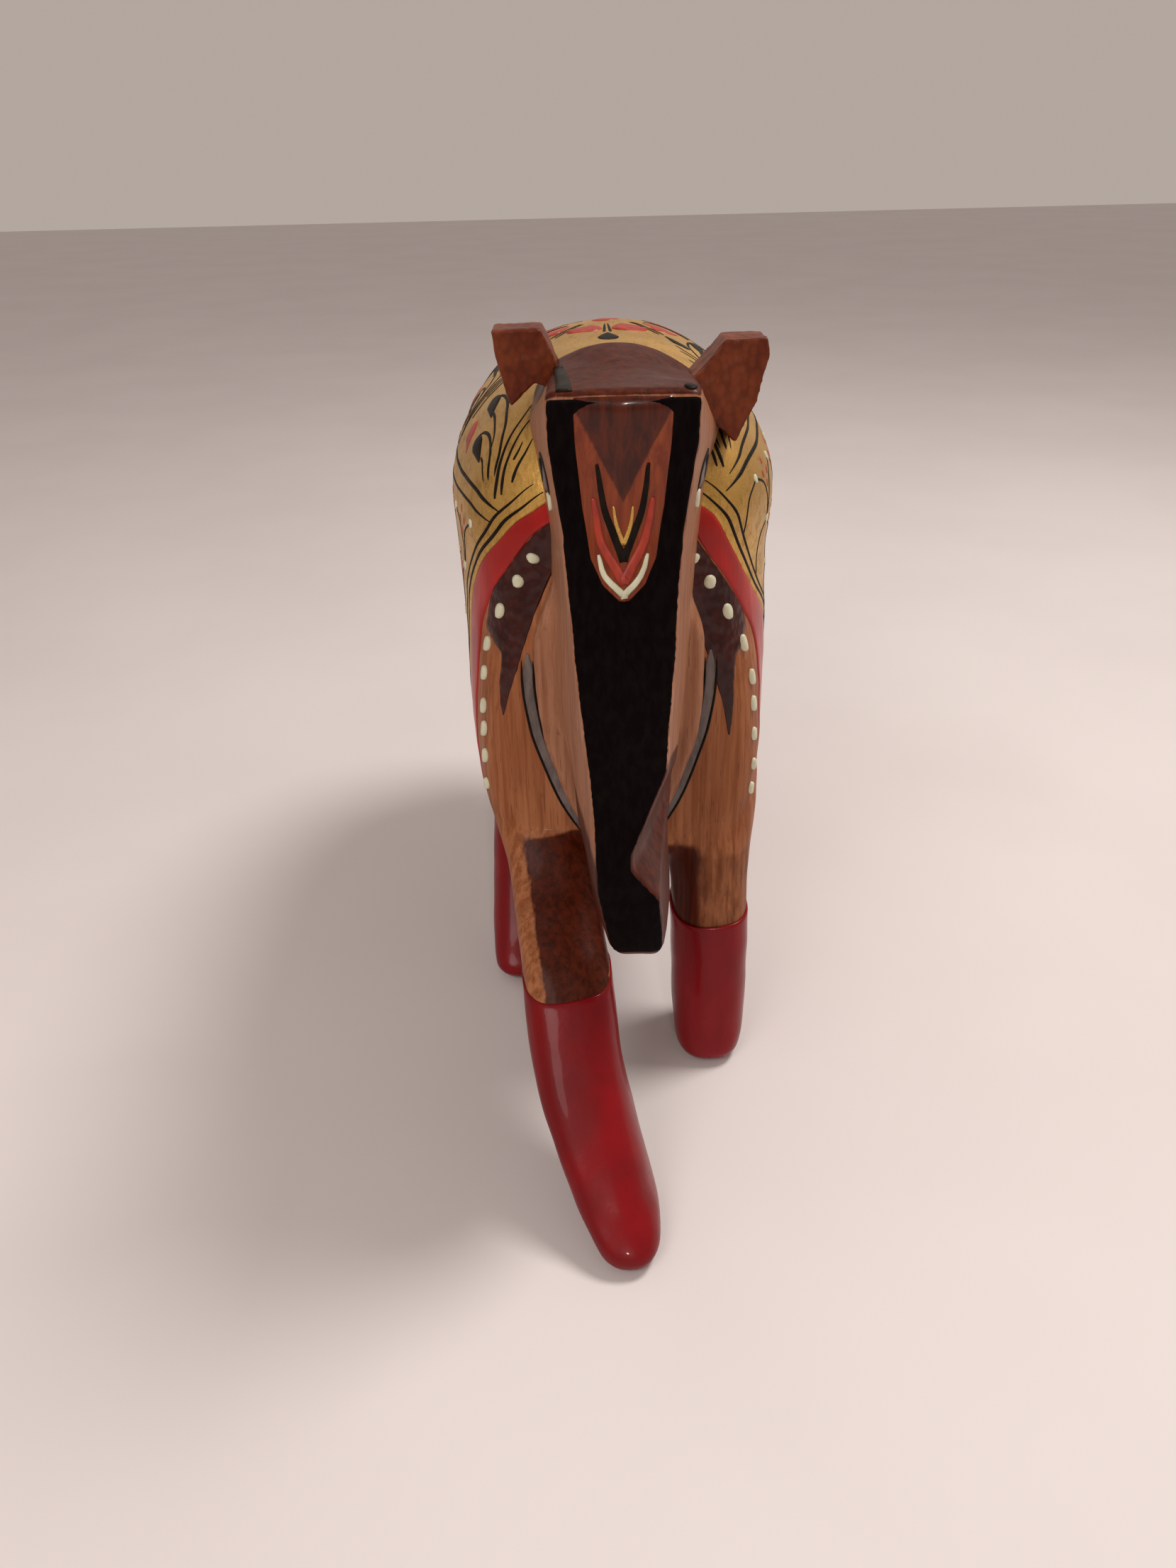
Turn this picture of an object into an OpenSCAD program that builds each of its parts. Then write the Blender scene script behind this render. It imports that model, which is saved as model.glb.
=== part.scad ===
// Carved and painted wooden elephant, walking. Millimetres, +Z up, the head towards -Y.
// The origin is on the ground, under the middle of the figure.
// Left and right are the animal's own: its left side is +X.

/* [Torso] */
// Width of the barrel
torso_w = 64.4; // [62:0.2:66]
// Height of the back above the ground
back_h = 144; // [142:0.5:146]
// Height of the belly above the ground
belly_h = 48; // [46:1:52]
// Height at which the flanks are widest
flank_h = 118; // [114:1:120]

/* [Head] */
// Height of the flat top of the head
head_h = 148; // [147.5:0.1:148.5]
// Height of the cut top of the right ear
ear_h = 151.5; // [151:0.1:152]
// How much lower the left ear's top is
ear_step = 2.3; // [1.5:0.1:2.5]

/* [Legs] */
// Height of the red paint on the legs
sock_h = 37; // [30:1:39]

/* [Paint] */
// Height of the paint coats above the wood
coat_t = 0.3; // [0.2:0.05:0.4]
// Width of the red border behind the saddle
border_w = 5; // [4:0.5:6]
// Diameter of a raised dot
dot_d = 2.6; // [2:0.1:3]
// Number of raised dots on each side
dot_count = 10; // [6:1:12]

/* [Hidden] */

// Torso: a boxy chest in front and a rounder rump behind
chest_y = -36;
rump_y = 92;
torso_mid = (chest_y + rump_y) / 2;
torso_half = (rump_y - chest_y) / 2;
chest_power = 3.3;
brisket_power = 18;
rump_power = 2.4;
back_power = 2;
flank_power = 5.5;
narrowing = 0.12;
rump_drop = 8;
ring_points = 36;
root_depth = 0.4;

wood = [0.55, 0.25, 0.13];
pale_wood = [0.72, 0.42, 0.25];
red = [0.70, 0.05, 0.10];
gold = [0.72, 0.56, 0.25];
black = [0.03, 0.02, 0.02];
cream = [0.90, 0.88, 0.72];
grey = [0.42, 0.38, 0.38];

// Trunk and head: height, front, back, half width in front, half width behind
head_rows = [
    [52, -67.5, -58, 3.8, 5],
    [56, -70, -55, 5, 7],
    [68, -74, -50, 5.3, 8],
    [78, -76.5, -47, 5.6, 9],
    [86, -75, -38, 6, 11.5],
    [94, -71, -26, 6.8, 14.3],
    [106, -65.5, -16, 8, 15.6],
    [118, -61.5, -10, 9, 16.2],
    [128, -60, -8, 9.9, 18],
    [136, -61, -8, 10.8, 19],
    [142, -62.5, -10, 11.4, 17],
    [head_h - 1.5, -63.5, -14, 11.4, 13.5],
    [head_h, -62.8, -22, 10.7, 11.5]];

// Half width of the throat against its height
throat_rows = [[56, 4], [62, 7.5], [66, 9.5], [73, 12], [82, 14.5],
    [92, 15.5], [100, 15.4], [108, 13], [118, 9]];
throat_front = -41;
throat_back = -24;
band_w = 2.2;

// Legs: height, centre x, centre y, half width, half depth
front_right_rows = [[0, -0.6, -83.5, 4.3, 9.5], [3, -1, -83.6, 6, 11.1], [10, -4.2, -77.8, 7.2, 11],
    [25, -9.6, -63.8, 8.3, 10.5], [40, -11.8, -49, 8.6, 10.5], [52, -14, -31.5, 9.4, 11],
    [66, -17.5, -19, 10.5, 12], [78, -18.5, -12, 10.5, 12]];
front_left_rows = [[0, 19.2, -32.3, 5, 8], [3, 19.3, -32.4, 6.8, 9.6], [10, 19.4, -31.2, 7.6, 9.8],
    [25, 19.4, -29.2, 7.9, 9.8], [40, 19.1, -27.2, 8.1, 10], [52, 18.6, -25, 9.2, 11.2],
    [66, 18, -20, 10.5, 12.5], [78, 17.5, -14, 10.5, 12.5]];
rear_right_rows = [[0, -23, -2, 5.5, 8], [3, -23, -2.5, 7, 10], [10, -23, 4, 7.4, 10],
    [25, -22.5, 17, 7.6, 10.5], [40, -21.5, 30, 8.5, 11.5], [52, -20, 40, 10, 14],
    [66, -18.5, 48, 11, 16], [78, -18, 52, 11, 16]];
rear_left_rows = [[0, 22, 79, 5.5, 8], [3, 22, 79, 7, 10], [10, 22, 78, 7.4, 10],
    [25, 21.5, 74, 7.6, 10], [40, 20.8, 69, 8.5, 11.5], [52, 20, 64, 10, 14],
    [66, 18.5, 59, 11, 16], [78, 18, 56, 11, 16]];

function spow(v, e) = sign(v) * pow(abs(v), e);
function mix(a, b, t) = a + (b - a) * t;
function column(rows, k) = [for (r = rows) [r[0], r[k]]];
function read(rows, z, k) = lookup(z, column(rows, k));
function between(low, high, steps) = [for (j = [0:steps]) mix(low, high, j / steps)];
function level(v) = [[-200, v], [200, v]];

function sink(y) = rump_drop * pow(max(y - torso_mid, 0) / torso_half, 2);

// A point of the torso's skin. v goes from -90 at the chest to 90 at the rump, and a goes round the
// section: 0 is the left flank, 90 the back, 180 the right flank and 270 the belly.
function torso_point(v, a, lift) =
    let (
        y = torso_mid + torso_half * sin(v),
        p = sin(a) > 0 ? back_power : flank_power,
        r = pow(pow(abs(cos(a)), p) + pow(abs(sin(a)), p), -1 / p),
        low = pow(max(-r * sin(a), 0), 2.5),
        end_power = v < 0 ? mix(chest_power, brisket_power, low) : rump_power,
        swell = pow(1 - pow(abs(sin(v)), end_power), 1 / end_power),
        high = sin(a) > 0 ? back_h - flank_h : flank_h - belly_h)
    let (across = cos(a) * (1 - narrowing * max(-r * sin(a), 0)))
    [(torso_w / 2 * swell + lift) * r * across, y, flank_h - sink(y) + (high * swell + lift) * r * sin(a)];

// A closed skin over rings of equal count that turn anticlockwise seen from the last ring
module skin(rings) {
    n = len(rings[0]);
    m = len(rings);
    sides = [for (i = [0:m - 2]) for (j = [0:n - 1])
        let (k = (j + 1) % n, p = i * n + j, q = i * n + k)
        each [[p, q + n, q], [p, p + n, q + n]]];
    ends = [[for (j = [0:n - 1]) j], [for (j = [n - 1:-1:0]) (m - 1) * n + j]];
    polyhedron([for (r = rings) each r], concat(sides, ends), convexity = 6);
}

// A closed sheet between two grids of points, the upper one seen with its rows running up and columns right
module sheet(upper, lower) {
    rows = len(upper);
    cols = len(upper[0]);
    n = rows * cols;
    faces = [for (i = [0:rows - 2]) for (j = [0:cols - 2])
        let (p = i * cols + j, q = p + 1, r = p + cols, s = r + 1)
        each [[p, r, s], [p, s, q], [n + p, n + s, n + r], [n + p, n + q, n + s]]];
    rim = concat([for (j = [0:cols - 2]) j], [for (i = [0:rows - 2]) i * cols + cols - 1],
        [for (j = [cols - 1:-1:1]) (rows - 1) * cols + j], [for (i = [rows - 1:-1:1]) i * cols]);
    walls = [for (i = [0:len(rim) - 1])
        let (p = rim[i], q = rim[(i + 1) % len(rim)])
        each [[p, q, n + q], [p, n + q, n + p]]];
    points = concat([for (r = upper) each r], [for (r = lower) each r]);
    polyhedron(points, concat(faces, walls), convexity = 6);
}

module torso() {
    last = 88;
    turns = 32;
    color(wood) skin([for (i = [0:turns])
        [for (j = [0:ring_points - 1]) torso_point(mix(-last, last, i / turns), -j * 360 / ring_points, 0)]]);
}

// The head is turned a little, and the end of the trunk curls a little to the left
turned = 0.045;
curl = 0.11;
function middle_x(y, z) =
    turned * min(max((z - 95) / 25, 0), 1) * (y - read(head_rows, z, 1)) + curl * max(70 - z, 0);
function head_ring(z) = [for (j = [0:19])
    let (a = j * 18, t = (1 + spow(sin(a), 0.4)) / 2)
    let (y = mix(read(head_rows, z, 1), read(head_rows, z, 2), t))
    [spow(cos(a), 0.4) * mix(read(head_rows, z, 3), read(head_rows, z, 4), t) + middle_x(y, z), y, z]];

// The gouged notch on the left side of the trunk
module trunk_notch() {
    yaw = 17;
    translate([0.6, -78, 78]) rotate([-90, 0, 0]) rotate([0, yaw, 0]) translate([0, 0, -10])
        linear_extrude(48) polygon([[12, -24], [0, -2], [0, 1], [12, 36]]);
}

// The outline of the throat from below up to a height, wider by grow
function throat_side(top, grow) = concat([[throat_rows[0][1] + grow, throat_rows[0][0] - grow]],
    [for (r = throat_rows) if (r[0] <= top) [r[1] + grow, r[0]]]);
function both_sides(side) = concat(side, [for (i = [len(side) - 1:-1:0]) [-side[i][0], side[i][1]]]);

module throat() {
    top = throat_rows[len(throat_rows) - 1][0];
    translate([0, throat_back, 0]) rotate([90, 0, 0])
        linear_extrude(throat_back - throat_front) polygon(both_sides(throat_side(top, 0)));
}

module head_and_trunk() {
    color(pale_wood) {
        difference() {
            skin([for (r = head_rows) head_ring(r[0])]);
            trunk_notch();
        }
        throat();
    }
}

// A V of paint in the groove where the throat meets the chest
module neck_band() {
    top = 100;
    proud = 14.4;
    color(grey) translate([0, throat_back, 0]) rotate([90, 0, 0]) linear_extrude(proud) difference() {
        polygon(both_sides(throat_side(top, band_w)));
        polygon(both_sides(concat(throat_side(top, 0.1), [[15.5, top + 1]])));
    }
}

// A flat ear in its outline as seen from the front
module ear(outline) {
    depth = 9;
    translate([0, -20, 0]) rotate([90, 0, 0]) linear_extrude(depth) polygon(outline);
}

module right_ear() {
    color(wood) mirror([1, 0, 0]) ear([[9.5, 145], [10.6, 148.3], [12.3, ear_h], [20.5, ear_h],
        [19.6, 145.5], [17.8, 139.3], [13.6, 143], [11, 142]]);
}
module left_ear() {
    top = ear_h - ear_step;
    color(wood) ear([[12.5, 143], [15.2, 145.5], [18.3, top], [25.4, top], [25.8, 146.5], [24, 139.1],
        [20.6, 132.3], [18.3, 134.5], [15.5, 137]]);
}

// A short tail that lies against the rump
module tail() {
    thick = 4;
    color(wood) translate([-thick / 2, 0, 0]) rotate([90, 0, 90]) linear_extrude(thick) polygon([
        [80, 124], [88, 116], [93, 106], [95, 94], [95, 80], [93.2, 70], [91.5, 66], [89, 71],
        [89, 80], [88, 94], [86, 106], [80, 114]]);
}

// One slice of a leg
function leg_ring(rows, z, grow) = [for (j = [0:15])
    let (a = j * 22.5)
    [read(rows, z, 1) + (read(rows, z, 3) + grow) * spow(cos(a), 0.7),
        read(rows, z, 2) + (read(rows, z, 4) + grow) * spow(sin(a), 0.7), z]];
function inner_heights(rows, low, high) = [for (r = rows) if (r[0] > low && r[0] < high) r[0]];

// The part of a leg between two heights
module leg_part(rows, low, high, grow) {
    skin([for (z = concat([low], inner_heights(rows, low, high), [high])) leg_ring(rows, z, grow)]);
}

module leg(rows) { color(pale_wood) leg_part(rows, sock_h, rows[len(rows) - 1][0], 0); }
module foot(rows) { color(red) leg_part(rows, 0, sock_h, coat_t); }

module front_right_leg() { leg(front_right_rows); }
module front_left_leg() { leg(front_left_rows); }
module rear_right_leg() { leg(rear_right_rows); }
module rear_left_leg() { leg(rear_left_rows); }
module front_right_foot() { foot(front_right_rows); }
module front_left_foot() { foot(front_left_rows); }
module rear_right_foot() { foot(rear_right_rows); }
module rear_left_foot() { foot(rear_left_rows); }

// A point on the flat front of the head or trunk, s from -1 on the left to 1 on the right
function face_point(z, s, lift) =
    let (y = read(head_rows, z, 1))
    [s * read(head_rows, z, 3) * 0.94 + middle_x(y, z), y - lift, z];

// A paint coat on the front, from one edge line to another, each given as height and share of the width
module face_sheet(heights, low_x, high_x, lift) {
    function across(z) = between(lookup(z, low_x), lookup(z, high_x), 4);
    sheet([for (z = heights) [for (s = across(z)) face_point(z, s, lift)]],
        [for (z = heights) [for (s = across(z)) face_point(z, s, -root_depth)]]);
}

trunk_tip = 54;
panel_tip = 116;
panel_share = 0.68;
coat_top = head_h - 1.5;
notch_edge = [[trunk_tip, 1], [64, 0.96], [77, 0.06], [80, 0.06], [91, 0.96], [panel_tip, 1]];
function wedge(share) = [[panel_tip, 0.02 * sign(share)], [coat_top, share]];

// Black paint down the front of the trunk and beside the forehead
module trunk_coat() {
    gap = 0.02;
    color(black) {
        face_sheet(between(trunk_tip, panel_tip, 30), level(-1), notch_edge, coat_t);
        face_sheet(between(panel_tip, coat_top, 8), level(-1), wedge(-panel_share - gap), coat_t);
        face_sheet(between(panel_tip, coat_top, 8), wedge(panel_share + gap), level(1), coat_t);
    }
}

// The painted wedge on the forehead
module forehead_panel() {
    proud = 0.4;
    rows = between(panel_tip + 0.2, coat_top + 0.3, 8);
    color(wood) face_sheet(rows, wedge(-panel_share), wedge(panel_share), coat_t + proud);
}

eye_y = -46;
eye_z = 131;
eye_r = 4;

module eye(side) {
    proud = 0.7;
    half = mix(read(head_rows, eye_z, 3), read(head_rows, eye_z, 4), 0.26);
    x = side * (half - eye_r + proud) + middle_x(eye_y, eye_z);
    color(black) translate([x, eye_y, eye_z]) sphere(eye_r, $fn = 40);
}

module right_eye() { eye(-1); }
module left_eye() { eye(1); }

// Lines of paint across a flank: a, which is 0 where the torso is widest and 90 on the back, and v
saddle_line = [[-45, -46], [-26, -45.5], [-20, -47], [-14, -53.2], [-8, -60.3], [0, -69], [12, -74],
    [22, -77], [90, -78]];
border_line = [[-45, -56.5], [-26, -55.6], [-20, -58.5], [-14.5, -63], [-9.8, -68.2], [-4, -73.8],
    [4, -78], [22, -80.5], [90, -81.5]];
dot_line = [[-45, -69], [-38.6, -69], [-35.3, -69.9], [-31.9, -68.4], [-28.9, -67],
    [-24.6, -65.8], [-20.7, -65.5], [-16.2, -69.5], [-11.3, -74.1], [-6, -77.5]];
saddle_rear = 36;
saddle_low = -42;
saddle_rows = 40;

// A coat over the flanks and the back, from one line to another
module torso_coat(front, rear, cols) {
    angles = between(saddle_low, 180 - saddle_low, saddle_rows);
    function across(a) = let (e = min(a, 180 - a)) between(lookup(e, front), lookup(e, rear), cols);
    sheet([for (a = angles) [for (v = across(a)) torso_point(v, a, coat_t)]],
        [for (a = angles) [for (v = across(a)) torso_point(v, a, -root_depth)]]);
}
function shifted(line, by) = [for (k = line) [k[0], k[1] + by]];

// The gold coat over the back and flanks
module saddle_coat() {
    color(gold) torso_coat(saddle_line, level(saddle_rear), 14);
}

// The red bands before and behind the saddle
module saddle_border() {
    gap = 0.15;
    turn = border_w / torso_half / cos(saddle_rear) * 180 / PI;
    color(red) {
        torso_coat(border_line, shifted(saddle_line, -gap), 3);
        torso_coat(level(saddle_rear + gap), level(saddle_rear + turn), 3);
    }
}

// A row of raised paint dots before the red band
module dots(side) {
    low = -43;
    high = -6;
    color(cream) for (i = [0:dot_count - 1]) {
        e = mix(high, low, i / (dot_count - 1));
        translate(torso_point(lookup(e, dot_line), side > 0 ? e : 180 - e, -dot_d / 4))
            sphere(dot_d / 2, $fn = 24);
    }
}

module left_dots() { dots(1); }
module right_dots() { dots(-1); }

torso();
head_and_trunk();
right_ear();
left_ear();
tail();
front_right_leg();
front_left_leg();
rear_right_leg();
rear_left_leg();
front_right_foot();
front_left_foot();
rear_right_foot();
rear_left_foot();
neck_band();
trunk_coat();
forehead_panel();
right_eye();
left_eye();
saddle_coat();
saddle_border();
right_dots();
left_dots();
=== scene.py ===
"""Looks of a carved and painted wooden elephant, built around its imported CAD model.

Shapes are worked out in millimetres, in the model's own frame: +Z up, the head towards -Y, and the
animal's left side at +X. add() turns them into metres.
"""
import math

import bmesh
import bpy
import numpy as np
from mathutils import Matrix, Vector, noise
from mathutils.bvhtree import BVHTree


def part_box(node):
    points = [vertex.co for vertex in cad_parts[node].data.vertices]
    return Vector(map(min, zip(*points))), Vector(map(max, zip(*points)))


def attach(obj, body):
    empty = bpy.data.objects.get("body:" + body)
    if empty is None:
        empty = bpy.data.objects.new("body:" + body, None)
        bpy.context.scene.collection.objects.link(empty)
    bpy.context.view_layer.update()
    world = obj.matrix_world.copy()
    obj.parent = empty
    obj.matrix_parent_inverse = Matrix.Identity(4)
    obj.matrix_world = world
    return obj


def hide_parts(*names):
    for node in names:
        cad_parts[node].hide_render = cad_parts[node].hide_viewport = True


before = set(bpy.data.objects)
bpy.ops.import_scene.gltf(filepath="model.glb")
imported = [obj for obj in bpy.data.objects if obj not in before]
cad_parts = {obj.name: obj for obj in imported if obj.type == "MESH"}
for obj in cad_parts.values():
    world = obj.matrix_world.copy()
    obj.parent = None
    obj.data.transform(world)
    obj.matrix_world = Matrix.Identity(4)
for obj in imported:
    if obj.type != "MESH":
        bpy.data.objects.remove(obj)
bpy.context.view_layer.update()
MM = 0.001


# ---- Camera, light and floor ----

def make_camera():
    """A phone camera close in front of the figure, looking 30 degrees down."""
    data = bpy.data.cameras.new("camera")
    data.sensor_fit = "VERTICAL"
    data.sensor_height = 36.0
    data.lens = 25.71
    data.clip_start = 0.01
    camera = bpy.data.objects.new("camera", data)
    place = (-0.00625, -0.2254, 0.1786)
    down = 30
    roll = -1.4
    camera.matrix_world = (Matrix.Translation(place) @ Matrix.Rotation(math.radians(90 - down), 4, "X")
                           @ Matrix.Rotation(math.radians(roll), 4, "Z"))
    bpy.context.scene.collection.objects.link(camera)
    bpy.context.scene.camera = camera


def make_light(name, place, aim, size, watts, colour):
    data = bpy.data.lights.new(name, "AREA")
    data.shape = "DISK"
    data.size = size
    data.energy = watts
    data.color = colour
    light = bpy.data.objects.new(name, data)
    light.location = place
    light.rotation_euler = (Vector(aim) - Vector(place)).to_track_quat("-Z", "Y").to_euler()
    bpy.context.scene.collection.objects.link(light)


def make_studio():
    """A lamp above, behind and to the left of the figure, two weaker ones in front of it, and pale light
    all round."""
    bpy.context.scene.view_settings.view_transform = "Standard"
    middle = (0, 0, 0.07)
    make_light("key", (0.34, 0.12, 0.72), middle, 0.24, 4.2, (1.0, 0.95, 0.90))
    make_light("fill", (-0.30, -0.50, 0.55), middle, 0.35, 1.5, (1.0, 0.95, 0.92))
    make_light("lamp", (0.05, -0.62, 0.28), (0, -0.06, 0.13), 0.03, 0.45, (1.0, 0.96, 0.9))
    world = bpy.data.worlds.new("studio")
    world.use_nodes = True
    background = world.node_tree.nodes["Background"]
    background.inputs["Color"].default_value = (0.90, 0.775, 0.70, 1)
    background.inputs["Strength"].default_value = 0.50
    bpy.context.scene.world = world


# ---- Materials ----

class Shader:
    """A material with a Principled BSDF, and short ways to add nodes to it."""

    def __init__(self, name, rough, metal=0.0, coat=0.0, coat_rough=0.1, specular=0.5):
        self.material = bpy.data.materials.new(name)
        self.material.use_nodes = True
        self.tree = self.material.node_tree
        self.out = self.tree.nodes["Principled BSDF"]
        self.out.inputs["Roughness"].default_value = rough
        self.out.inputs["Metallic"].default_value = metal
        self.out.inputs["Coat Weight"].default_value = coat
        self.out.inputs["Coat Roughness"].default_value = coat_rough
        self.out.inputs["Specular IOR Level"].default_value = specular
        self.place = self.add("ShaderNodeTexCoord").outputs["Object"]

    def add(self, kind, **settings):
        node = self.tree.nodes.new(kind)
        for key, value in settings.items():
            setattr(node, key, value)
        return node

    def join(self, socket, value):
        """Sets an input from a number, a colour or another node's output."""
        if isinstance(value, bpy.types.NodeSocket):
            self.tree.links.new(value, socket)
        else:
            socket.default_value = value

    def texture(self, kind, scale, **settings):
        """A texture with its own scale along each axis, in cycles per metre."""
        mapping = self.add("ShaderNodeMapping")
        self.join(mapping.inputs["Vector"], self.place)
        mapping.inputs["Scale"].default_value = scale
        texture = self.add(kind, **settings)
        self.join(texture.inputs["Vector"], mapping.outputs["Vector"])
        texture.inputs["Scale"].default_value = 1.0
        return texture

    def noise(self, scale, detail=3.0, distortion=0.0):
        texture = self.texture("ShaderNodeTexNoise", scale)
        texture.inputs["Detail"].default_value = detail
        texture.inputs["Roughness"].default_value = 0.55
        texture.inputs["Distortion"].default_value = distortion
        return texture.outputs["Fac"]

    def cells(self, scale):
        """Rounded cells, like the marks of a gouge."""
        texture = self.texture("ShaderNodeTexVoronoi", scale, feature="SMOOTH_F1")
        texture.inputs["Smoothness"].default_value = 0.35
        return texture.outputs["Distance"]

    def spread(self, value, low, high, to_low=0.0, to_high=1.0):
        """A soft step: to_low up to low, to_high from high on."""
        node = self.add("ShaderNodeMapRange", interpolation_type="SMOOTHSTEP")
        self.join(node.inputs["Value"], value)
        node.inputs["From Min"].default_value = low
        node.inputs["From Max"].default_value = high
        node.inputs["To Min"].default_value = to_low
        node.inputs["To Max"].default_value = to_high
        return node.outputs["Result"]

    def maths(self, operation, a, b):
        node = self.add("ShaderNodeMath", operation=operation)
        self.join(node.inputs[0], a)
        self.join(node.inputs[1], b)
        return node.outputs["Value"]

    def mix(self, factor, a, b, blend="MIX"):
        node = self.add("ShaderNodeMix", data_type="RGBA", blend_type=blend)
        self.join(node.inputs["Factor"], factor)
        colours = [i for i in node.inputs if i.type == "RGBA"]
        self.join(colours[0], a)
        self.join(colours[1], b)
        return [o for o in node.outputs if o.type == "RGBA"][0]

    def bump(self, height, depth, strength=1.0):
        """Adds a relief, deep in metres, on top of what is there."""
        node = self.add("ShaderNodeBump")
        node.inputs["Strength"].default_value = strength
        node.inputs["Distance"].default_value = depth
        self.join(node.inputs["Height"], height)
        link = self.out.inputs["Normal"].links
        if link:
            self.join(node.inputs["Normal"], link[0].from_socket)
        self.join(self.out.inputs["Normal"], node.outputs["Normal"])


def rgb(r, g, b):
    return (r, g, b, 1.0)


def wood_material(name, pale, deep, stain_and_shade, gloss=0.42, gouges=0.00018, coat=0.04):
    """Carved wood with upright grain under lacquer, darkened by the mesh's own layer of real stain and
    painted shade.
    """
    s = Shader(name, gloss, coat=coat, coat_rough=0.12, specular=0.1)
    grain = s.noise((900, 900, 30), detail=6, distortion=0.4)
    streak = s.noise((3400, 3400, 120), detail=3)
    cloud = s.noise((60, 60, 28), detail=2)
    pores = s.spread(streak, 0.60, 0.68)
    colour = s.mix(s.spread(grain, 0.34, 0.68), pale, deep)
    colour = s.mix(s.spread(cloud, 0.35, 0.75, 0, 0.45), colour, deep)
    # The mesh's darkening layer: real stain in some places, painted shade in others.
    layer = s.add("ShaderNodeAttribute", attribute_name="stain_and_shade").outputs["Fac"]
    ragged = s.maths("ADD", layer, s.spread(s.noise((500, 500, 160)), 0, 1, -0.22, 0.22))
    dark = s.mix(s.spread(grain, 0.3, 0.7), stain_and_shade, [c * 0.42 for c in stain_and_shade[:3]] + [1])
    colour = s.mix(s.spread(ragged, 0.25, 0.8), colour, dark)
    colour = s.mix(s.maths("MULTIPLY", pores, 0.45), colour, rgb(0.06, 0.018, 0.008))
    s.join(s.out.inputs["Base Color"], colour)
    s.join(s.out.inputs["Roughness"], s.spread(cloud, 0.3, 0.7, gloss - 0.07, gloss + 0.12))
    s.bump(streak, 0.00006, 0.6)
    s.bump(s.noise((260, 260, 150), detail=2), gouges)
    return s.material


def gouged_material(name, bright, deep, cut, gloss, coat):
    """Lacquered wood worked all over with a small gouge."""
    s = Shader(name, gloss, coat=coat, coat_rough=0.07, specular=0.1)
    marks = s.cells((950, 950, 640))
    fine = s.noise((2200, 2200, 1100), detail=3)
    cloud = s.noise((170, 170, 90), detail=2)
    colour = s.mix(s.spread(cloud, 0.35, 0.7), bright, deep)
    colour = s.mix(s.spread(marks, 0.3, 0.8, 0, 0.35), colour, [c * 0.3 for c in deep[:3]] + [1])
    s.join(s.out.inputs["Base Color"], colour)
    s.bump(marks, cut)
    s.bump(fine, cut * 0.35)
    return s.material


def enamel_material(name, bright, deep, gloss=0.3, brush=0.00005, coat=0.14):
    """Glossy paint brushed on up and down."""
    s = Shader(name, gloss, coat=coat, coat_rough=0.06, specular=0.15)
    brushed = s.noise((700, 700, 60), detail=4)
    cloud = s.noise((110, 110, 60), detail=2)
    colour = s.mix(s.spread(cloud, 0.3, 0.72), bright, deep)
    colour = s.mix(s.spread(brushed, 0.45, 0.8, 0, 0.5), colour, deep)
    s.join(s.out.inputs["Base Color"], colour)
    s.join(s.out.inputs["Roughness"], s.spread(cloud, 0.3, 0.7, gloss - 0.04, gloss + 0.1))
    s.bump(brushed, brush)
    return s.material


def gold_material():
    """Metallic gold paint with brush marks and flecks, over brown wood."""
    s = Shader("gold_paint", 0.42, metal=0.75, coat=0.1, coat_rough=0.25)
    brushed = s.noise((900, 260, 420), detail=5, distortion=0.8)
    fleck = s.noise((3600, 3600, 3600), detail=2)
    cloud = s.noise((70, 70, 70), detail=2)
    colour = s.mix(s.spread(cloud, 0.3, 0.7), rgb(0.62, 0.36, 0.085), rgb(0.47, 0.26, 0.055))
    colour = s.mix(s.spread(brushed, 0.45, 0.75, 0, 0.55), colour, rgb(0.22, 0.105, 0.02))
    colour = s.mix(s.spread(fleck, 0.55, 0.75, 0, 0.45), colour, rgb(0.90, 0.66, 0.26))
    s.join(s.out.inputs["Base Color"], colour)
    s.join(s.out.inputs["Roughness"], s.spread(brushed, 0.3, 0.7, 0.34, 0.52))
    s.bump(brushed, 0.00008)
    s.bump(fleck, 0.00003, 0.6)
    return s.material


def flat_paint(name, bright, deep, gloss, coat=0.0, specular=0.4):
    """Plain brushed paint for lines, dots and bands."""
    s = Shader(name, gloss, coat=coat, coat_rough=0.15, specular=specular)
    brushed = s.noise((900, 900, 300), detail=4)
    s.join(s.out.inputs["Base Color"], s.mix(s.spread(brushed, 0.35, 0.7), bright, deep))
    s.bump(brushed, 0.00004)
    return s.material


def floor_material():
    s = Shader("floor", 0.6)
    s.join(s.out.inputs["Base Color"],
           s.mix(s.spread(s.noise((9, 9, 9)), 0.3, 0.7), rgb(0.68, 0.635, 0.63), rgb(0.65, 0.605, 0.60)))
    return s.material


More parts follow.
